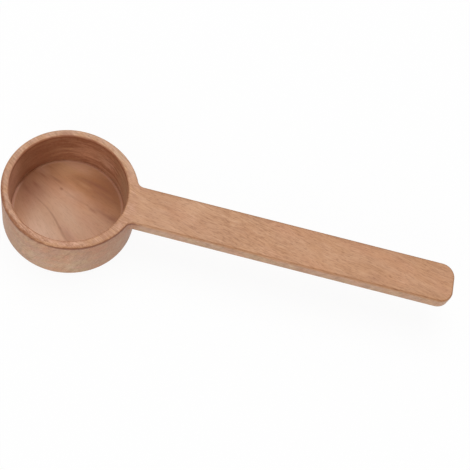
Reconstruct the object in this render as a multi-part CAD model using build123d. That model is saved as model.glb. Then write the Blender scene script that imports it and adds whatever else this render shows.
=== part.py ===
from build123d import *
import os
from math import pi

# A wooden measuring spoon, built up from three glued pieces of wood.
# The origin is the centre of the cup's base, +X runs along the handle, +Z is up.

# Cup
cup_radius = 26.0  # outer radius, from the cup's axis to the lip
cup_height = 24.4  # from the base to the top of the rim
wall_thickness = 3.1  # at the rim, on the side away from the handle
bore_taper = 0.3  # how much narrower the inside's radius is at the floor
neck_swell = 1.3  # how much further the outline reaches towards the handle
foot_swell = 0.8  # the same at the base, where the outline is rounder
floor_thickness = 6.0

# Handle
handle_length = 130.0  # from the circle of the lip to the tip
handle_thickness = 5.8  # the thickness of the whole top board
neck_width = 16.5
end_width = 17.0
neck_radius = 3.0  # hollow corner between the handle's edge and the cup
end_corner_radius = 5.5  # the two corners of the handle's end, seen from above

# Softened edges
rim_round = 0.9  # outer top edge of the rim and the handle
bore_round = 1.0  # inner top edge of the rim
base_round = 1.2  # outer edge of the base
underside_round = 0.6  # lower edges of the handle
floor_bevel_width = 0.9  # round the top of the floor disc
floor_bevel_depth = 0.35

# Glued joints
glue_gap = 0.05  # beside a tongue or a disc, on each side
tongue_wall_share = 0.34  # tongue thickness as a share of the wall
tongue_depth_share = 0.3  # tongue height as a share of the top board
rebate_wall_share = 0.4  # step round the floor disc as a share of the wall
rebate_depth_share = 0.5  # height of that step as a share of the floor
lap_share = 0.5  # how far the handle's rounded bar runs into the wall

# Worked-out sizes
bore_radius = cup_radius - wall_thickness
floor_radius = bore_radius - bore_taper
cup_depth = cup_height - floor_thickness
board_bottom = cup_height - handle_thickness
tip_x = cup_radius + handle_length
front_radius = cup_radius + neck_swell
foot_front_radius = cup_radius + foot_swell
tongue_height = handle_thickness * tongue_depth_share
tongue_thickness = wall_thickness * tongue_wall_share
tongue_radius = bore_radius + wall_thickness / 2
rebate_radius = floor_radius + wall_thickness * rebate_wall_share
rebate_height = floor_thickness * rebate_depth_share
bar_start = bore_radius + wall_thickness * lap_share


def cup_outline(reach):
    """The cup from above: a circle that eases out on the handle's side, as far as its reach."""
    back = CenterArc((0, 0), cup_radius, 90, 180)
    front = EllipticalCenterArc((0, 0), reach, cup_radius, -90, arc_size=180)
    return make_face(Wire([back, front]))


def handle_outline():
    """The handle from above: two slightly flaring edges and a straight end with rounded corners."""
    start_corners = [(bar_start, neck_width / 2), (bar_start, -neck_width / 2)]
    end_corners = [(tip_x, -end_width / 2), (tip_x, end_width / 2)]
    outline = make_face(Polyline(start_corners + end_corners, close=True))
    return fillet(outline.vertices().sort_by(Axis.X)[-2:], end_corner_radius)


def board_outline():
    """Cup and handle in one outline, with hollow corners at the neck."""
    outline = cup_outline(front_radius) + handle_outline()
    corners = [v for v in outline.vertices() if 0 < v.X < front_radius and abs(v.Y) < neck_width]
    return fillet(corners, neck_radius)


def bore():
    """The inside of the cup, from the floor to the rim, slightly wider at the top."""
    inside = Cone(floor_radius, bore_radius, cup_depth, align=(Align.CENTER, Align.CENTER, Align.MIN))
    return Pos(0, 0, floor_thickness) * inside


def tongue(clearance):
    """The ring that locates the board on the wall, as a solid from the board's underside up."""
    inner_side = Circle(tongue_radius - tongue_thickness / 2 - clearance)
    outer_side = Circle(tongue_radius + tongue_thickness / 2 + clearance)
    return Pos(0, 0, board_bottom) * extrude(outer_side - inner_side, tongue_height + clearance)


def rounded_bar(outline):
    """The outline as a bar, with its lower edges rounded from the tip to the cut across the cup."""
    bar = extrude(outline, handle_thickness)
    bottom = bar.faces().sort_by(Axis.Z)[0]
    long_edges = bottom.edges().sort_by(Axis.X)[1:]
    return fillet(long_edges, underside_round)


def make_handle_and_rim():
    """The top board: rim ring and handle in one piece. The lower rounding stops at the cup."""
    outline = board_outline()
    neck_start = outline.vertices().sort_by(Axis.X)[2].X  # where a hollow corner leaves the cup
    ring_side = Pos(neck_start - tip_x, 0) * Rectangle(2 * tip_x, 2 * tip_x)
    slab = extrude(outline & ring_side, handle_thickness)
    board = Pos(0, 0, board_bottom) * (slab + rounded_bar(outline - ring_side))
    board = board - bore() - tongue(glue_gap)
    top = board.faces().sort_by(Axis.Z)[-1]
    board = fillet(top.outer_wire().edges(), rim_round)
    top = board.faces().sort_by(Axis.Z)[-1]
    return fillet(top.inner_wires()[0].edges(), bore_round)


def make_cup_wall():
    """The turned ring under the board, with a tongue on top and a rebate below."""
    foot = cup_outline(foot_front_radius)
    shoulder = Pos(0, 0, board_bottom) * cup_outline(front_radius)
    block = loft([foot, shoulder], ruled=True)
    base_edges = block.faces().sort_by(Axis.Z)[0].edges()
    wall = fillet(base_edges, base_round) + tongue(0) - bore()
    wall -= extrude(Circle(floor_radius), floor_thickness)
    return wall - extrude(Circle(rebate_radius), rebate_height)


def make_cup_floor():
    """The floor disc, bevelled on top and stepped so that it seats in the rebate under the wall."""
    plate_radius = floor_radius - glue_gap
    shoulder_height = floor_thickness - floor_bevel_depth
    step = extrude(Circle(rebate_radius - glue_gap), rebate_height)
    plate = extrude(Circle(plate_radius), shoulder_height)
    seat = (Align.CENTER, Align.CENTER, Align.MIN)
    bevel = Cone(plate_radius, plate_radius - floor_bevel_width, floor_bevel_depth, align=seat)
    return step + plate + Pos(0, 0, shoulder_height) * bevel


parts = {
    "handle_and_rim": make_handle_and_rim(),
    "cup_wall": make_cup_wall(),
    "cup_floor": make_cup_floor(),
}

os.makedirs("parts", exist_ok=True)
for name, part in parts.items():
    part.label = name
    export_step(part, os.path.join("parts", name + ".step"))

volume = pi * cup_depth / 3 * (bore_radius**2 + bore_radius * floor_radius + floor_radius**2)
print("the cup holds", round(volume / 1000, 1), "ml and the overall length is", cup_radius + tip_x, "mm")
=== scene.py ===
from dataclasses import dataclass
from functools import reduce
from math import cos, radians, sin

import bpy
from mathutils import Matrix, Vector


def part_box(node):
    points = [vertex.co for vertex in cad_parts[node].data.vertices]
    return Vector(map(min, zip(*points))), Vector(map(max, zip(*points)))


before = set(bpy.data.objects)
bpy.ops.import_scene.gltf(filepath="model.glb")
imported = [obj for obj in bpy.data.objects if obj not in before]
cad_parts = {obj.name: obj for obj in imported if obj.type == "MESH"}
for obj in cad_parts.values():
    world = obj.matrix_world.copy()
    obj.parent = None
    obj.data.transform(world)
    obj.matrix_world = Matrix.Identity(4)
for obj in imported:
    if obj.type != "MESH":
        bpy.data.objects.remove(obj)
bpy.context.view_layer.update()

# A wooden measuring spoon: brown hardwood with fine pores, turned, sanded and oiled.
# Objects are in metres, in the frame of the construction: +X along the handle, +Z up.
# Inside the materials every length is in millimetres.

MM = 0.001

# The camera, as it was fitted to the photograph
IMAGE_SIZE_PX = 470
RIM_CENTRE_PX = (69.07, 187.03)  # where the centre of the rim falls
PX_PER_METRE = 2582.4  # at the rim
CAMERA_DISTANCE = 0.416
CAMERA_ELEVATION = radians(62.763)
CAMERA_AZIMUTH = radians(-7.098)
CAMERA_ROLL = radians(20.594)
SENSOR_MM = 36.0
CLIP_START = 0.01

# Light
WHITE = (1, 1, 1, 1)
KEY_AZIMUTH = radians(95)
KEY_ELEVATION = radians(72)
KEY_DISTANCE = 1.1
KEY_SIZE = 0.9
KEY_POWER = 5.5
FILL_AZIMUTH = radians(-98)
FILL_ELEVATION = radians(30)
FILL_DISTANCE = 1.2
FILL_SIZE = 0.9
FILL_POWER = 3.4
SKY_STRENGTH = 0.56
STAGE_WHITE = 0.9
STAGE_SIZE = 6.0
STAGE_GLOW_SHARE = 0.92  # how much of the floor's look is plain white

# Wood colours, linear
TAN = (0.53, 0.283, 0.16, 1)
PALE = (0.62, 0.362, 0.222, 1)
ROSY = (0.54, 0.262, 0.15, 1)
PINK = (0.68, 0.385, 0.265, 1)
# Pale wood, and painted light on the lit middle and front of the floor and the far rim's edge
PALE_AND_PAINTED_LIGHT = (0.65, 0.415, 0.28, 1)
ORANGE = (0.48, 0.225, 0.09, 1)
AMBER = (0.6, 0.32, 0.15, 1)
GREY_TAN = (0.475, 0.29, 0.195, 1)
OLIVE_TAN = (0.49, 0.32, 0.185, 1)
LATE_WOOD = (0.29, 0.125, 0.06, 1)
RED_BROWN = (0.27, 0.095, 0.042, 1)
# Dark bore colour: oil that has soaked in, and painted shade deep in the bore
OIL_AND_PAINTED_SHADE = (0.27, 0.088, 0.035, 1)  # where the oil has soaked in
SCORCH = (0.26, 0.092, 0.036, 1)  # burnt by the rounding cutter
CHARRED = (0.21, 0.06, 0.018, 1)
ORANGE_BURN = (0.32, 0.135, 0.05, 1)

# Tints, which multiply the colour under them
DARK_TINT = (0.52, 0.43, 0.36, 1)
PALE_TINT = (1.12, 1.22, 1.32, 1)
PAINTED_SHADE_TINT = (0.99, 0.9, 0.79, 1)
RED_TINT = (0.95, 0.84, 0.8, 1)
PAINTED_LIGHT_TINT = (1.17, 1.22, 1.28, 1)

# Sizes of the spoon that the marks on the wood follow: first those that the frame gives
board_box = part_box("handle_and_rim")
floor_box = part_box("cup_floor")
rim_height = board_box[1][2] / MM
rim_radius = board_box[1][1] / MM
floor_height = floor_box[1][2] / MM
bore_radius = 22.9  # at the rim
lip_round = 0.9  # the radius of the rim's rounded outer edge
bevel_radius = 21.9  # the upper part of the bevel round the floor
handle_edge = 7.4  # from the handle's centre line to where its side edges begin to round


class Graph:
    """Adds nodes to one node tree and wires them."""

    def __init__(self, tree):
        self.tree = tree
        tree.nodes.clear()

    def add(self, kind, inputs=None, **settings):
        node = self.tree.nodes.new(kind)
        for name, value in settings.items():
            setattr(node, name, value)
        for key, value in (inputs or {}).items():
            if isinstance(value, bpy.types.NodeSocket):
                self.tree.links.new(value, node.inputs[key])
            else:
                node.inputs[key].default_value = value
        return node

    def math(self, operation, *values):
        return self.add("ShaderNodeMath", dict(enumerate(values)), operation=operation).outputs[0]

    def fold(self, operation, values):
        """One value out of several, by the same operation from each to the next."""
        return reduce(lambda first, second: self.math(operation, first, second), values)

    def plus(self, *values):
        return self.fold("ADD", values)

    def minus(self, first, second):
        return self.math("SUBTRACT", first, second)

    def times(self, *values):
        return self.fold("MULTIPLY", values)

    def hypotenuse(self, first, second):
        squares = self.plus(self.times(first, first), self.times(second, second))
        return self.math("SQRT", squares)

    def vector_math(self, operation, *values):
        inputs = dict(enumerate(values))
        return self.add("ShaderNodeVectorMath", inputs, operation=operation).outputs

    def split(self, vector):
        return self.add("ShaderNodeSeparateXYZ", {0: vector}).outputs

    def join(self, x, y, z):
        return self.add("ShaderNodeCombineXYZ", {0: x, 1: y, 2: z}).outputs[0]

    def rotate(self, vector, angles):
        return self.add("ShaderNodeMapping", {"Vector": vector, "Rotation": angles}).outputs[0]

    def stretch(self, vector, sizes):
        """The vector divided by a size along each of its axes."""
        return self.vector_math("MULTIPLY", vector, tuple(1 / size for size in sizes))[0]

    def ramp(self, value, start, end, low, high):
        """Runs smoothly from low to high while the value goes from start to end."""
        inputs = {"Value": value, 1: start, 2: end, 3: low, 4: high}
        node = self.add("ShaderNodeMapRange", inputs, interpolation_type="SMOOTHSTEP")
        return node.outputs["Result"]

    def mix(self, colour, other, shares, blend):
        """The colour with the other over it, as strong as the product of the shares."""
        inputs = {0: self.times(*shares), 6: colour, 7: other}
        return self.add("ShaderNodeMix", inputs, data_type="RGBA", blend_type=blend).outputs[2]


# What the tables below are made of. Each class makes its value with the graph, and gets what
# it needs from Place.get: a coordinate or a mask by its name, or the value of another entry.


@dataclass(frozen=True)
class Noise:
    """Soft random values, in patches of these sizes along the axes of a named vector."""

    vector: str
    sizes: tuple
    detail: float = 2.0
    roughness: float = 0.5
    distortion: float = 0.0

    def make(self, graph, get):
        inputs = {
            "Vector": graph.stretch(get(self.vector), self.sizes),
            "Scale": 1.0,
            "Detail": self.detail,
            "Roughness": self.roughness,
            "Distortion": self.distortion,
        }
        return graph.add("ShaderNodeTexNoise", inputs, noise_dimensions="3D").outputs["Fac"]


@dataclass(frozen=True)
class Fade:
    """Runs smoothly from low to high while what it runs over goes from start to end."""

    over: object
    start: float
    end: float
    low: float = 0.0
    high: float = 1.0

    def make(self, graph, get):
        return graph.ramp(get(self.over), self.start, self.end, self.low, self.high)


@dataclass(frozen=True)
class Band:
    """1 at the centre, falling smoothly to 0 at the width to either side."""

    over: object
    centre: float
    width: float

    def make(self, graph, get):
        off = graph.math("ABSOLUTE", graph.minus(get(self.over), self.centre))
        return graph.ramp(off, 0.0, self.width, 1.0, 0.0)


@dataclass(frozen=True)
class Joined:
    """Several values made into one by an operation, from each to the next."""

    operation: str
    parts: tuple

    def make(self, graph, get):
        return graph.fold(self.operation, [get(part) for part in self.parts])


@dataclass(frozen=True)
class Distance:
    """How far off a place in the spoon's frame is."""

    x: float
    y: float
    z: float

    def make(self, graph, get):
        return graph.vector_math("DISTANCE", get("point"), (self.x, self.y, self.z))["Value"]


@dataclass(frozen=True)
class Oval:
    """How far off an oval's middle is: 1 at its outline. It lies along the grain."""

    along: float
    across: float
    length: float
    width: float

    def make(self, graph, get):
        off_along = graph.minus(get("along"), self.along)
        off_across = graph.minus(get("across"), self.across)
        sizes = (self.length, self.width, 1.0)
        off = graph.stretch(graph.join(off_along, off_across, 0.0), sizes)
        return graph.vector_math("LENGTH", off)["Value"]


@dataclass(frozen=True)
class Ground:
    """A colour that has layers of its own."""

    colour: tuple
    layers: tuple


@dataclass(frozen=True)
class Layer:
    """A colour, laid on as strongly as the product of its parts."""

    colour: object
    parts: tuple
    blend: str


def total(*parts):
    return Joined("ADD", parts)


def largest(*parts):
    return Joined("MAXIMUM", parts)


def outside_of(mask):
    return Joined("SUBTRACT", (1.0, mask))


def paint(colour, *parts):
    """A layer that covers."""
    return Layer(colour, parts, "MIX")


def tint(colour, *parts):
    """A layer that multiplies what is under it."""
    return Layer(colour, parts, "MULTIPLY")


# Noises of the wood itself: sizes along, across and into the grain
WANDER = Noise("straight_grain", (30.0, 15.0, 15.0), 1.0)
RING_WANDER = Noise("grain", (30.0, 5.0, 5.0), 3.0)
CLOUDS = Noise("grain", (36.0, 8.0, 8.0))
BLUSH = Noise("grain", (24.0, 12.0, 12.0), 1.0)
STREAKS = Noise("grain", (9.0, 0.9, 0.9))
FIBRES = Noise("grain", (4.5, 0.4, 0.4), 3.0, 0.6)
FLECKS = Noise("grain", (2.6, 0.7, 0.7), 3.0, 0.6)
PORES = Noise("grain", (1.9, 0.34, 0.34), 1.0)
RIM_STRIPES = Noise("grain", (7.0, 0.55, 0.55), 3.0, 0.6)
HANDLE_CLOUDS = Noise("grain", (12.0, 4.0, 4.0))
FLOOR_CLOUDS = Noise("grain", (9.0, 4.0, 4.0))

# Noises of the marks on its surface: sizes along X, Y and Z, or round, outwards and up
RIM_CLOUDS = Noise("point", (4.0, 4.0, 4.0))
TORN_FIBRES = Noise("unrolled", (2.0, 0.8, 0.8), 3.0, 0.65, 1.0)
FLANK_OLIVE = Noise("point", (9.0, 9.0, 5.0), 3.0)
FLANK_ROSE = Noise("point", (8.0, 8.0, 4.5), 3.0)
FLANK_CURLS = Noise("leaning", (2.0, 2.0, 7.0), 3.0, 0.6, 1.2)
FLANK_BLOTCHES = Noise("point", (3.6, 3.6, 3.2))
LIP_ROUGHNESS = Noise("point", (2.2, 2.2, 1.6), 3.0, 0.6)
LIP_GAPS = Noise("point", (3.0, 3.0, 2.0))
TURNED_RINGS = Noise("point", (8.0, 8.0, 1.5), 3.0, 0.6, 0.4)

# The scorched line under the lip, whose height strays a little
CHARRED_HEIGHT = rim_height - 1.1 * lip_round
CHARRED_STRAY = Fade(LIP_ROUGHNESS, 0.3, 0.7, -0.2, 0.2)

# Masks by name, each the product of its parts. The other names are the coordinates that Place
# adds: radius is from the cup's axis, off_middle is x to either side, level is 1 where the
# surface is level, and ring_phase runs from 0 to 1 through each growth ring.
MASKS = {
    # Sides of the spoon
    "rim": (Fade("radius", rim_radius + 3.0, rim_radius),),
    "far_rim": ("rim", Fade("y", 4.0, 16.0)),
    "outside": (Fade("radius", rim_radius - 2.0, rim_radius - 1.2),),
    "inside": (Fade("radius", bore_radius + 0.75, bore_radius + 0.3),),
    "cup": (Fade("x", rim_radius, rim_radius + 6.0, 1.0, 0.0),),
    "handle": (Fade("x", rim_radius, rim_radius + 6.0),),
    "edge": ("outside", Fade("level", 0.99, 0.93)),
    "flank": (
        "outside",
        Fade("z", rim_height - 0.3 * lip_round, rim_height - 1.6 * lip_round),
    ),
    "cup_flank": ("flank", "cup"),
    "near": (Fade("y", 10.0, -16.0, 0.25, 1.0),),
    "near_flank": ("flank", "near"),
    "foot": ("inside", Band("z", floor_height + 1.2, 2.2)),
    # The wood's grain
    "late_wood": (Fade("ring_phase", 0.25, 0.9), Fade("ring_phase", 0.94, 1.0, 1.0, 0.0)),
    "figure": ("cut_figure", Fade("x", 38.0, 58.0, 0.7, 1.05), Fade("x", 78.0, 98.0, 1.0, 0.75)),
    "flecked": (Fade("x", 50.0, 62.0), Fade("x", 80.0, 96.0, 1.0, 0.5)),
    "pores": (Fade(PORES, 0.56, 0.7),),
    # Marks
    "torn": (Fade(Distance(-6.0, -22.0, rim_height), 12.0, 24.0, 1.0, 0.0),),
    "broken": (Band("x", -7.0, 9.0), Fade("y", 0.0, -10.0)),
    "charred": (
        Fade("off_charred_line", 0.4, 0.9, 1.0, 0.0),
        largest(Fade(LIP_GAPS, 0.38, 0.56, 0.1, 1.0), outside_of("broken")),
        Fade("y", -8.0, 8.0, 1.0, 0.35),
        Fade("x", -16.0, -2.0, 0.6, 0.9),
    ),
    # Where the floor gets painted shade, and where its bevel gets a painted highlight
    "painted_shade_far": (
        Fade("y", 6.0, 11.0),
        Fade("y", 15.0, 19.0, 0.8, 0.4),
        Fade("x", -14.0, -4.0, 0.2, 1.0),
    ),
    "painted_shade_right": (Fade("x", 0.0, 7.0), Fade("y", -3.0, 6.0)),
    "painted_shade_left": (Fade("x", -12.0, -17.0, 0.0, 0.65),),
    "bevel_highlight_left": (Fade("x", -8.0, -16.0), Fade("y", 8.0, 3.0)),
    "bevel_highlight_right": (Fade("x", 2.0, 14.0, 0.0, 0.65),),
    "bevel_highlight_far": (Fade("y", 12.0, 19.0, 0.0, 0.6),),
    "fading": (Fade(FLOOR_CLOUDS, 0.3, 0.62, 0.45, 1.0),),
}

# The wood's own colour in long soft clouds, with its growth rings
BROAD_COLOUR = (
    paint(PALE, Fade(CLOUDS, 0.35, 0.72, 0.0, 0.42)),
    paint(ROSY, Fade(BLUSH, 0.4, 0.66, 0.0, 0.6)),
    paint(LATE_WOOD, "late_wood", "ring_share"),
)

# Streaks, fibres and pores, which show through every stain
FINE_GRAIN = (
    tint(DARK_TINT, "figure", Fade(STREAKS, 0.5, 0.75, 0.0, 0.22)),
    tint(PALE_TINT, "figure", Fade(STREAKS, 0.5, 0.25, 0.0, 0.4)),
    tint(DARK_TINT, "figure", Fade(FIBRES, 0.45, 0.78, 0.0, 0.34)),
    tint(PALE_TINT, "figure", Fade(FIBRES, 0.45, 0.2, 0.0, 0.5)),
    tint(DARK_TINT, "flecked", Fade(FLECKS, 0.48, 0.7, 0.0, 0.4)),
    tint(PALE_TINT, "flecked", Fade(FLECKS, 0.46, 0.3, 0.0, 0.5)),
    tint(DARK_TINT, "pores", "cut_figure", 0.32),
)

# The rim is browner at the left and in front, greyer at the left and at the far side, paler along
# that side's outer edge as a painted reflection, and mottled and striped all round
RIM = (
    paint(RED_BROWN, "rim", Fade("x", -0.4 * rim_radius, -rim_radius, 0.1, 0.45)),
    paint(RED_BROWN, "rim", Fade("y", 6.0, -6.0, 0.0, 0.14), Fade("x", 0.0, 12.0)),
    paint(
        GREY_TAN, "rim",
        largest(Fade("y", 4.0, 20.0, 0.0, 0.65), Fade("x", -12.0, -22.0, 0.0, 0.4)),
    ),
    # Painted reflection of the white surround along the far rim's outer edge
    paint(PALE_AND_PAINTED_LIGHT, "far_rim", Fade("radius", 24.2, 25.0, 0.0, 0.4)),
    paint(AMBER, "far_rim", Fade("radius", 24.6, 23.8, 0.0, 0.35)),
    paint(AMBER, "rim", Fade(RIM_CLOUDS, 0.5, 0.66, 0.0, 0.35)),
    paint(PINK, "rim", Fade(RIM_CLOUDS, 0.46, 0.32, 0.0, 0.35)),
    paint(RED_BROWN, "rim", Fade(RIM_STRIPES, 0.5, 0.66, 0.0, 0.3)),
    paint(PINK, "rim", Fade(RIM_STRIPES, 0.5, 0.32, 0.0, 0.55)),
)

# The top of the handle is warmer, and more so towards its end
HANDLE_TOP = (
    paint(
        ORANGE,
        Fade("x", rim_radius - 8.0, rim_radius),
        Fade(HANDLE_CLOUDS, 0.4, 0.62, 0.03, 0.22),
    ),
    paint(ORANGE, Fade("x", 50.0, 68.0, 0.0, 0.17)),
)

# The cutter left torn flecks on the front of the rim
TORN_RIM = (
    paint(PINK, "torn", Fade(TORN_FIBRES, 0.49, 0.6, 0.0, 0.5)),
    paint(
        RED_BROWN, "torn",
        Fade("radius", 23.6, 25.0), Fade(TORN_FIBRES, 0.46, 0.35, 0.0, 0.65),
    ),
)

# The flank below the lip is greyer and mottled, most of all in front, with painted shade towards
# the cup's sides and below the rim, and painted light low in front and on the handle's sides
FLANK_GROUND = Ground(GREY_TAN, (
    paint(OLIVE_TAN, Fade(FLANK_OLIVE, 0.42, 0.6), "near", 0.9),
    paint(ROSY, Fade(FLANK_ROSE, 0.46, 0.66), "near", 0.65),
))
FLANK = (
    paint(FLANK_GROUND, "flank", 0.75),
    tint(DARK_TINT, "near_flank", Fade(FLANK_CURLS, 0.5, 0.72, 0.0, 0.45)),
    tint(PALE_TINT, "near_flank", Fade(FLANK_CURLS, 0.46, 0.28, 0.0, 0.75)),
    # Darker and rosier towards the cup's sides: painted shade, where the wall turns away
    paint(LATE_WOOD, "cup_flank", Fade("off_middle", 8.0, 24.0, 0.0, 0.26)),
    paint(ROSY, "cup_flank", Fade("off_middle", 8.0, 24.0, 0.0, 0.3)),
    tint(DARK_TINT, "cup_flank", Fade("off_middle", 8.0, 16.0, 0.0, 0.09)),
    paint(OLIVE_TAN, "near_flank", "cup", Fade(FLANK_BLOTCHES, 0.5, 0.66, 0.0, 0.5)),
    paint(ROSY, "near_flank", "cup", Fade(FLANK_BLOTCHES, 0.46, 0.32, 0.0, 0.4)),
    # Lighter on the handle's sides: painted light
    tint(PAINTED_LIGHT_TINT, "flank", "handle", 0.4),
    # Redder and darker below the rim: painted shade
    tint(RED_TINT, "cup_flank", Fade("z", 12.5, 18.0, 0.0, 0.75)),
    # Lighter low in front: painted light
    tint(
        PAINTED_LIGHT_TINT, "cup_flank",
        Fade("z", 13.0, 6.0, 0.0, 0.5), Fade("x", -16.0, -8.0), Fade("x", 6.0, 16.0, 1.0, 0.5),
    ),
)

# The rounding cutter burnt the lip, in a line that breaks up in front, the handle's edges
# and, most of all, the left of the rim
BURNT_EDGES = (
    paint(
        ORANGE, "edge",
        Band("z", rim_height - 0.9 * lip_round, 1.7), Fade("x", 0.0, rim_radius, 0.6, 0.1),
    ),
    paint(CHARRED, "charred", "edge", "cup"),
    paint(ORANGE_BURN, "handle", "edge", Band("level", 0.85, 0.4), 0.6),
    paint(ORANGE_BURN, "handle", Band("y", handle_edge, 1.0), Fade("x", 46.0, 64.0, 0.3, 0.1)),
    paint(
        SCORCH,
        Fade("radius", rim_radius - 1.5, rim_radius - 0.6),
        Fade("z", rim_height - 2.2, rim_height - 1.0),
        Fade("x", -2.0, -0.5 * rim_radius),
        Fade("y", 4.0, -0.3 * rim_radius),
        Fade(LIP_ROUGHNESS, 0.36, 0.6, 0.25, 0.95),
    ),
)

# The bore is darker with oil, with faint turned rings, and darker towards the far side: partly
# oil, partly painted shade deep in the cup
BORE_RINGS = (
    paint(
        OIL_AND_PAINTED_SHADE, "inside",
        total(
            Fade(TURNED_RINGS, 0.36, 0.64, 0.0, 0.4),
            # Darker towards the far side: partly painted shade
            Fade("y", 0.0, 0.8 * bore_radius, 0.0, 0.42),
        ),
    ),
    paint(ORANGE, "inside", Fade(TURNED_RINGS, 0.44, 0.3, 0.0, 0.4)),
)

# Painted shade at the left of the bore's foot and painted light at its right; painted light at
# the left of its walls and olive at the right; painted shade high up and painted light lower
# down; and its upper edge darker but in front
BORE_TONES_PAINTED_LIGHT_AND_SHADE = (
    # Painted shade in the corner at the foot, most at the left, and painted light at its right
    paint(RED_BROWN, "foot", Fade("x", 8.0, -8.0, 0.0, 0.48), Fade("x", -23.0, -17.0, 0.3, 1.0)),
    paint(PALE, "foot", Fade("x", 4.0, 14.0, 0.0, 0.35)),
    # Lighter at the far left of the walls: painted light
    paint(PINK, "inside", Fade("x", -21.0, -22.8, 0.0, 0.42)),
    paint(OLIVE_TAN, "inside", Fade("x", 13.0, 22.0, 0.0, 0.36)),
    # Painted shade high up on the walls, painted light lower down
    tint(RED_TINT, "inside", Fade("z", 16.0, 20.5, 0.0, 0.75)),
    tint(PAINTED_LIGHT_TINT, "inside", Fade("z", 18.0, 11.0), Fade("x", -22.6, -18.5, 0.1, 0.95)),
    paint(OIL_AND_PAINTED_SHADE, "inside", Band("z", rim_height - 1.0, 0.9), Fade("y", -10.0, -2.0)),
)

# Growth lines on the floor, by their place across the grain and the width to their edge
FLOOR_LINES = (
    paint(LATE_WOOD, Band("line_across", -8.6, 0.9), "fading", 0.6),
    paint(LATE_WOOD, Band("line_across", 6.7, 1.2), "fading", 0.25),
    paint(LATE_WOOD, Band("line_across", 5.3, 0.6), "fading", 0.15),
    paint(LATE_WOOD, Band("line_across", 11.8, 0.7), "fading", 0.2),
)

# The floor is warmer all round but in front, as painted shade tinted by the walls; lighter in
# front, as painted light; and paler along its bevel, as a painted highlight
FLOOR_PAINTED_LIGHT_AND_SHADE = (
    tint(PAINTED_SHADE_TINT, largest("painted_shade_far", "painted_shade_right", "painted_shade_left")),
    tint(PAINTED_LIGHT_TINT, Fade("y", -6.0, -14.0, 0.0, 0.45)),
    paint(PINK, Band("radius", bevel_radius, 1.0), largest("bevel_highlight_left", "bevel_highlight_right", "bevel_highlight_far")),
)


def top_patch(x, y, reach, colour, share):
    """A soft patch of colour on the level top of the rim and the handle, with a ragged edge."""
    ragged = total(Distance(x, y, rim_height), Fade(RIM_CLOUDS, 0.3, 0.7, -1.0, 1.0))
    return paint(colour, Fade(ragged, 0.0, reach, share, 0.0))


TOP_PATCHES = (
    top_patch(20.1, 13.1, 2.2, RED_BROWN, 0.5),
    top_patch(14.7, 18.8, 3.8, OLIVE_TAN, 0.45),
    top_patch(4.2, 23.9, 2.6, ORANGE, 0.3),
    top_patch(-1.3, 24.5, 2.4, ORANGE, 0.4),
    top_patch(-7.2, 22.1, 3.6, RED_BROWN, 0.5),
    top_patch(-15.6, 18.6, 3.2, ORANGE, 0.45),
    top_patch(-24.2, 3.0, 4.0, ORANGE, 0.3),
    top_patch(-23.0, -7.5, 2.8, ORANGE, 0.45),
    top_patch(-3.5, -24.6, 3.6, RED_BROWN, 0.24),
    top_patch(4.2, -24.2, 3.2, RED_BROWN, 0.32),
    top_patch(13.0, -20.8, 2.6, ORANGE, 0.35),
    top_patch(-18.8, -15.8, 3.4, RED_BROWN, 0.32),
    top_patch(-19.5, 15.0, 4.5, RED_BROWN, 0.2),
    top_patch(23.0, 8.4, 4.0, ORANGE, 0.25),
    top_patch(25.0, 0.0, 5.0, LATE_WOOD, 0.15),
    top_patch(34.0, -2.5, 9.0, LATE_WOOD, 0.2),
    top_patch(48.0, 4.0, 9.0, PALE, 0.6),
    # Darker round x = 69 mm on the handle: partly painted shade
    top_patch(69.0, 2.0, 11.0, LATE_WOOD, 0.13),
    top_patch(123.0, -2.0, 14.0, LATE_WOOD, 0.12),
)


def bore_patch(x, y, z, reach, colour, share):
    """A soft patch of colour on the bore's wall, with a ragged edge."""
    ragged = total(Distance(x, y, z), Fade(TURNED_RINGS, 0.3, 0.7, -2.0, 2.0))
    return paint(colour, "inside", Fade(ragged, 0.0, reach, share, 0.0))


BORE_PATCHES = (
    # Darker at the far left: partly painted shade
    bore_patch(-16.5, 15.5, 16.0, 14.0, RED_BROWN, 0.6),
    bore_patch(20.0, 10.0, 17.0, 13.0, OLIVE_TAN, 0.3),
    bore_patch(3.0, 22.5, 15.0, 10.0, ROSY, 0.7),
    # The next two, paler at the far right: partly painted light
    bore_patch(12.0, 19.0, 15.0, 5.5, PINK, 0.35),
    bore_patch(9.0, 21.0, 13.0, 6.0, PALE, 0.3),
    # Paler at the left: partly painted light
    bore_patch(-22.5, -1.0, 17.0, 9.0, ROSY, 0.5),
)


def patch(along, across, length, width, colour, share):
    """A soft oval patch on the floor, whose length and width reach from its middle to its edge."""
    return paint(colour, Fade(Oval(along, across, length, width), 0.0, 1.0, share, 0.0))


# Patches of colour on the floor; those that are painted light or shade are noted
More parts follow.
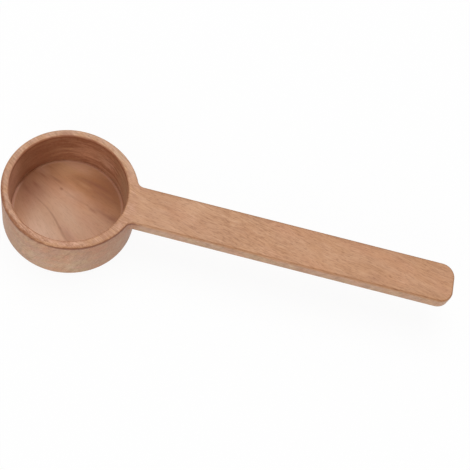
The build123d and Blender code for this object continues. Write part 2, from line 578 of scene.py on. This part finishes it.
FLOOR_PATCHES = (
    # The next two, pale over the middle and the front: partly painted light, where the floor is
    # lit most
    patch(4.0, -2.0, 19.0, 7.0, PALE_AND_PAINTED_LIGHT, 0.6),
    patch(2.0, -15.0, 18.0, 12.0, PALE_AND_PAINTED_LIGHT, 1.0),
    patch(-18.0, 10.0, 20.0, 20.0, ORANGE, 0.6),
    patch(-8.0, 16.8, 15.0, 7.0, AMBER, 1.0),
    # Darker at the far left: partly painted shade, where the wall shades the floor
    patch(-22.0, 4.0, 19.0, 18.0, RED_BROWN, 0.55),
    patch(-18.0, -7.0, 14.0, 11.0, RED_BROWN, 0.62),
    patch(0.0, 11.8, 17.0, 5.0, ORANGE, 1.0),
    patch(5.0, 15.6, 21.0, 9.0, RED_BROWN, 0.75),
    patch(1.0, 14.5, 15.0, 6.0, ORANGE, 0.9),
    patch(4.0, 12.8, 16.0, 5.0, ORANGE_BURN, 0.6),
    patch(2.0, 15.2, 16.0, 6.0, RED_BROWN, 0.45),
    patch(-15.0, -12.0, 9.0, 12.0, RED_BROWN, 0.35),
    patch(-4.5, 4.5, 8.0, 3.5, PALE_AND_PAINTED_LIGHT, 0.25),
    patch(12.5, 8.8, 13.0, 5.5, RED_BROWN, 0.75),
    patch(14.0, 11.0, 12.0, 8.0, ORANGE, 0.5),
    patch(-13.0, -3.0, 7.0, 6.0, RED_BROWN, 0.3),
    patch(2.0, 15.6, 11.0, 1.2, RED_BROWN, 0.75),
    patch(8.0, 13.5, 9.0, 1.1, RED_BROWN, 0.7),
    patch(9.0, 1.0, 12.0, 4.0, ROSY, 0.5),
    patch(8.0, -6.4, 8.0, 2.4, PINK, 0.5),
    patch(8.5, -6.6, 7.0, 2.2, RED_BROWN, 0.24),
    patch(9.0, -6.9, 7.0, 1.8, LATE_WOOD, 0.3),
    # Paler at the far edge: painted light against the shade of the far wall
    patch(-12.0, 19.5, 13.0, 4.5, PINK, 0.55),
    patch(-11.0, -15.0, 9.0, 7.0, RED_BROWN, 0.2),
    patch(-15.5, 3.5, 7.0, 4.0, RED_BROWN, 0.2),
    patch(9.0, 13.0, 9.0, 4.0, ORANGE_BURN, 0.5),
    patch(-0.8, 7.5, 8.0, 3.0, RED_BROWN, 0.15),
    patch(-3.5, 13.0, 6.0, 1.4, AMBER, 0.45),
    patch(12.3, 2.3, 7.0, 4.0, LATE_WOOD, 0.13),
    patch(-6.5, 13.6, 9.0, 4.0, LATE_WOOD, 0.26),
    patch(-8.6, 7.6, 6.0, 3.5, LATE_WOOD, 0.25),
    patch(1.5, 6.8, 7.0, 3.0, LATE_WOOD, 0.17),
    patch(-13.0, 14.5, 6.0, 5.0, PALE, 0.3),
    # Paler at the far left, by the wall: painted light against its shade
    patch(-20.5, 7.0, 6.0, 5.0, PINK, 0.35),
    patch(13.0, 7.3, 7.5, 1.1, RED_BROWN, 0.5),
    patch(16.1, 7.8, 3.2, 1.9, RED_BROWN, 0.5),
    patch(7.5, -2.9, 5.0, 0.7, PALE, 0.6),
    patch(8.5, -4.3, 5.0, 0.6, PALE, 0.5),
    patch(-12.5, 7.0, 4.5, 1.2, LATE_WOOD, 0.8),
    patch(7.7, 5.8, 3.4, 1.0, RED_BROWN, 0.6),
    patch(-17.5, 4.1, 3.0, 1.3, RED_BROWN, 0.6),
    patch(-16.5, -2.8, 2.5, 1.3, RED_BROWN, 0.6),
    patch(-17.0, -8.4, 4.5, 1.4, RED_BROWN, 0.7),
    patch(-15.5, -3.0, 4.0, 2.0, RED_BROWN, 0.4),
    patch(-7.9, 4.6, 1.3, 1.1, RED_BROWN, 0.7),
)


@dataclass(frozen=True)
class Cut:
    """How a piece is cut from the tree."""

    turn: float  # of the grain, seen from above
    dip: float  # of the grain, along the piece
    shift: tuple  # of the block of wood, so that the pieces have different marks
    fan: float  # how far back the grain fans out from, or 0
    bend: float  # how steeply the grain turns aside over the cup
    pinch: float  # how much the growth lines are drawn together in the middle
    wander: float  # how far the grain strays to the side
    heart: tuple  # where the heart of the tree lies: across the grain, and upwards
    ring_spacing: float
    ring_share: float  # how strongly the growth rings show
    figure: float  # how strongly the fine grain shows


BOARD_CUT = Cut(
    turn=radians(-12), dip=radians(2), shift=(0.0, 0.0, 0.0), fan=0.0, bend=0.4, pinch=0.0,
    wander=1.4, heart=(14.0, -46.0), ring_spacing=3.1, ring_share=0.2, figure=1.4,
)
FLOOR_CUT = Cut(
    turn=radians(-31), dip=radians(3), shift=(120.0, 0.0, 30.0), fan=58.0, bend=0.0, pinch=0.33,
    wander=0.6, heart=(20.0, -40.0), ring_spacing=3.4, ring_share=0.05, figure=0.6,
)
WANDER_START = 0.2  # the part of the noise's range that counts
WANDER_END = 0.8
BEND_START = 22.0  # the x from which the board's grain turns aside, towards the cup
BEND_REACH = 7.0  # how softly it begins to turn
PINCH = Band("along", -5.0, 15.0)  # where the growth lines are drawn together
CURL_SLANT = 0.45  # how far the flank's figure leans towards the handle on its way up

# The surface: fibres stand up a little, pores lie low, and rough fibres are duller
FIBRE_HEIGHT = 0.35  # against the pores' depth
RELIEF_STRENGTH = 0.3
RELIEF_DEPTH = 0.05 * MM
ROUGHNESS = Fade(FIBRES, 0.3, 0.8, 0.48, 0.62)
IOR = 1.45
SPECULAR_LEVEL = 0.45


class Place:
    """Where a point of the surface lies, and all that the layers of colour get from that."""

    def __init__(self, graph, cut):
        self.graph = graph
        self.cut = cut
        self.made = {"cut_figure": cut.figure, "ring_share": cut.ring_share}
        self.locate()
        self.follow_grain()
        self.count_rings()

    def get(self, item):
        """A number as it is, and anything else by its name or from a table, made only once."""
        if isinstance(item, float):
            return item
        if item not in self.made:
            if isinstance(item, str):
                self.made[item] = self.graph.times(*map(self.get, MASKS[item]))
            else:
                self.made[item] = item.make(self.graph, self.get)
        return self.made[item]

    def lay(self, colour, layers):
        """The colour with the layers over it, one after another."""
        for layer in layers:
            over = layer.colour
            if isinstance(over, Ground):
                over = self.lay(over.colour, over.layers)
            shares = [self.get(part) for part in layer.parts]
            colour = self.graph.mix(colour, over, shares, layer.blend)
        return colour

    def locate(self):
        """The point in the spoon's frame, how level it is, and how far off the charred line."""
        graph = self.graph
        point = graph.stretch(graph.add("ShaderNodeTexCoord").outputs["Object"], (MM, MM, MM))
        x, y, z = graph.split(point)
        radius = graph.hypotenuse(x, y)
        around = graph.times(graph.math("ARCTAN2", x, graph.times(y, -1.0)), rim_radius)
        facing = graph.add("ShaderNodeNewGeometry").outputs["Normal"]
        self.made.update({
            "point": point,
            "x": x,
            "y": y,
            "z": z,
            "radius": radius,
            "off_middle": graph.math("ABSOLUTE", x),
            "level": graph.split(facing)[2],
            "unrolled": graph.join(around, radius, z),
            "leaning": graph.join(graph.minus(x, graph.times(z, CURL_SLANT)), y, z),
        })
        off_line = graph.plus(graph.minus(z, CHARRED_HEIGHT), self.get(CHARRED_STRAY))
        self.made["off_charred_line"] = graph.math("ABSOLUTE", off_line)

    def follow_grain(self):
        """The point in the block of wood: along, across and into its grain."""
        graph, cut, made = self.graph, self.cut, self.made
        turned = graph.rotate(made["point"], (0, 0, -cut.turn))
        along, across, depth = graph.split(graph.rotate(turned, (0, cut.dip, 0)))
        if cut.fan:
            angle = graph.math("ARCTAN2", across, graph.plus(along, cut.fan))
            across = graph.times(angle, cut.fan)
        if cut.bend:
            before = graph.minus(BEND_START, made["x"])
            turned_in = graph.math("SMOOTH_MAX", before, 0.0, BEND_REACH)
            across = graph.minus(across, graph.times(turned_in, cut.bend))
        made["along"] = along
        made["straight_grain"] = graph.join(along, across, depth)
        drawn = graph.times(self.get(PINCH), cut.pinch)
        made["line_across"] = graph.times(across, graph.plus(drawn, 1.0))
        wander = graph.ramp(self.get(WANDER), WANDER_START, WANDER_END, -cut.wander, cut.wander)
        made["across"] = graph.plus(across, wander)
        grain = graph.join(along, made["across"], depth)
        made["grain"] = graph.vector_math("ADD", grain, cut.shift)[0]

    def count_rings(self):
        """How far the point lies through the growth ring that it is in, from 0 to 1."""
        graph, cut = self.graph, self.cut
        _, across, depth = graph.split(self.made["grain"])
        side = graph.minus(across, cut.heart[0])
        above = graph.minus(depth, cut.heart[1])
        rings = graph.math("DIVIDE", graph.hypotenuse(side, above), cut.ring_spacing)
        rings = graph.plus(rings, self.get(RING_WANDER))
        self.made["ring_phase"] = graph.math("FRACT", rings)


def wood(name, cut, marks):
    """Oiled hardwood of one cut, with its marks laid over it in turn."""
    material = bpy.data.materials.new(name)
    material.use_nodes = True
    graph = Graph(material.node_tree)
    place = Place(graph, cut)
    fibres = graph.times(place.get(FIBRES), FIBRE_HEIGHT)
    bump = graph.add("ShaderNodeBump", {
        "Strength": RELIEF_STRENGTH,
        "Distance": RELIEF_DEPTH,
        "Height": graph.minus(fibres, place.get("pores")),
    })
    shader = graph.add("ShaderNodeBsdfPrincipled", {
        "Base Color": place.lay(TAN, BROAD_COLOUR + marks + FINE_GRAIN),
        "Roughness": place.get(ROUGHNESS),
        "Normal": bump.outputs[0],
        "IOR": IOR,
        "Specular IOR Level": SPECULAR_LEVEL,
    })
    output = graph.add("ShaderNodeOutputMaterial", {"Surface": shader.outputs[0]})
    output.is_active_output = True
    return material


def finish_nodes():
    """The three pieces keep their shapes and get their wood."""
    top = RIM + TOP_PATCHES + HANDLE_TOP + TORN_RIM
    cup = FLANK + BURNT_EDGES + BORE_RINGS + BORE_PATCHES + BORE_TONES_PAINTED_LIGHT_AND_SHADE
    looks = {
        "handle_and_rim": wood("wood_board", BOARD_CUT, top + cup),
        "cup_wall": wood("wood_wall", BOARD_CUT, cup),
        "cup_floor": wood("wood_floor", FLOOR_CUT, FLOOR_PATCHES + FLOOR_LINES + FLOOR_PAINTED_LIGHT_AND_SHADE),
    }
    for name, material in looks.items():
        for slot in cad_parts[name].material_slots:
            slot.material = material


def direction(azimuth, elevation):
    return Vector((cos(azimuth) * cos(elevation), sin(azimuth) * cos(elevation), sin(elevation)))


def make_camera():
    """The photograph's camera: its right, up and back axes, and its place."""
    back = Vector((
        sin(CAMERA_AZIMUTH) * cos(CAMERA_ELEVATION),
        -cos(CAMERA_AZIMUTH) * cos(CAMERA_ELEVATION),
        sin(CAMERA_ELEVATION),
    ))
    level = Vector((cos(CAMERA_AZIMUTH), sin(CAMERA_AZIMUTH), 0))
    upright = back.cross(level)
    right = cos(CAMERA_ROLL) * level + sin(CAMERA_ROLL) * upright
    up = cos(CAMERA_ROLL) * upright - sin(CAMERA_ROLL) * level
    middle = IMAGE_SIZE_PX / 2
    side = (RIM_CENTRE_PX[0] - middle) / PX_PER_METRE
    drop = (RIM_CENTRE_PX[1] - middle) / PX_PER_METRE
    spot = Vector((0, 0, rim_height * MM)) + back * CAMERA_DISTANCE - right * side + up * drop
    data = bpy.data.cameras.new("camera")
    data.sensor_width = SENSOR_MM
    data.lens = SENSOR_MM * PX_PER_METRE * CAMERA_DISTANCE / IMAGE_SIZE_PX
    data.clip_start = CLIP_START
    camera = bpy.data.objects.new("camera", data)
    camera.matrix_world = Matrix((
        (right.x, up.x, back.x, spot.x),
        (right.y, up.y, back.y, spot.y),
        (right.z, up.z, back.z, spot.z),
        (0, 0, 0, 1),
    ))
    bpy.context.scene.collection.objects.link(camera)
    bpy.context.scene.camera = camera


def add_lamp(name, azimuth, elevation, distance, size, power):
    """A round soft lamp that looks at the cup."""
    data = bpy.data.lights.new(name, "AREA")
    data.shape = "DISK"
    data.size = size
    data.energy = power
    lamp = bpy.data.objects.new(name, data)
    away = direction(azimuth, elevation)
    lamp.location = away * distance
    lamp.rotation_euler = away.to_track_quat("Z", "Y").to_euler()
    bpy.context.scene.collection.objects.link(lamp)


def seen_directly(graph):
    """1 for what the camera, a reflection or clear glass shows, and 0 for light."""
    path = graph.add("ShaderNodeLightPath").outputs
    rays = [path[name] for name in ("Is Camera Ray", "Is Glossy Ray", "Is Transmission Ray")]
    return graph.fold("MAXIMUM", rays)


def make_light():
    """A soft lamp high above the far side, a weaker one in front, and a white surround."""
    add_lamp("key", KEY_AZIMUTH, KEY_ELEVATION, KEY_DISTANCE, KEY_SIZE, KEY_POWER)
    add_lamp("fill", FILL_AZIMUTH, FILL_ELEVATION, FILL_DISTANCE, FILL_SIZE, FILL_POWER)
    world = bpy.data.worlds.new("surround")
    bpy.context.scene.world = world
    world.use_nodes = True
    graph = Graph(world.node_tree)
    strength = graph.add("ShaderNodeMix", {0: seen_directly(graph), 2: SKY_STRENGTH, 3: 1.0})
    inputs = {"Color": WHITE, "Strength": strength.outputs[0]}
    white = graph.add("ShaderNodeBackground", inputs)
    graph.add("ShaderNodeOutputWorld", {"Surface": white.outputs[0]})


def make_stage():
    """A plain white floor under the cup, which keeps a faint shadow."""
    half = STAGE_SIZE / 2
    corners = [(-half, -half, 0), (half, -half, 0), (half, half, 0), (-half, half, 0)]
    mesh = bpy.data.meshes.new("floor")
    mesh.from_pydata(corners, [], [(0, 1, 2, 3)])
    floor = bpy.data.objects.new("floor", mesh)
    bpy.context.scene.collection.objects.link(floor)
    material = bpy.data.materials.new("stage_white")
    material.use_nodes = True
    graph = Graph(material.node_tree)
    matt_colour = (STAGE_WHITE, STAGE_WHITE, STAGE_WHITE, 1)
    matt = graph.add("ShaderNodeBsdfDiffuse", {"Color": matt_colour})
    glow = graph.add("ShaderNodeEmission", {"Color": WHITE, "Strength": 1.0})
    share = graph.times(seen_directly(graph), STAGE_GLOW_SHARE)
    both = graph.add("ShaderNodeMixShader", {0: share, 1: matt.outputs[0], 2: glow.outputs[0]})
    graph.add("ShaderNodeOutputMaterial", {"Surface": both.outputs[0]})
    mesh.materials.append(material)


finish_nodes()
make_camera()
make_light()
make_stage()
bpy.context.scene.view_settings.view_transform = "Standard"
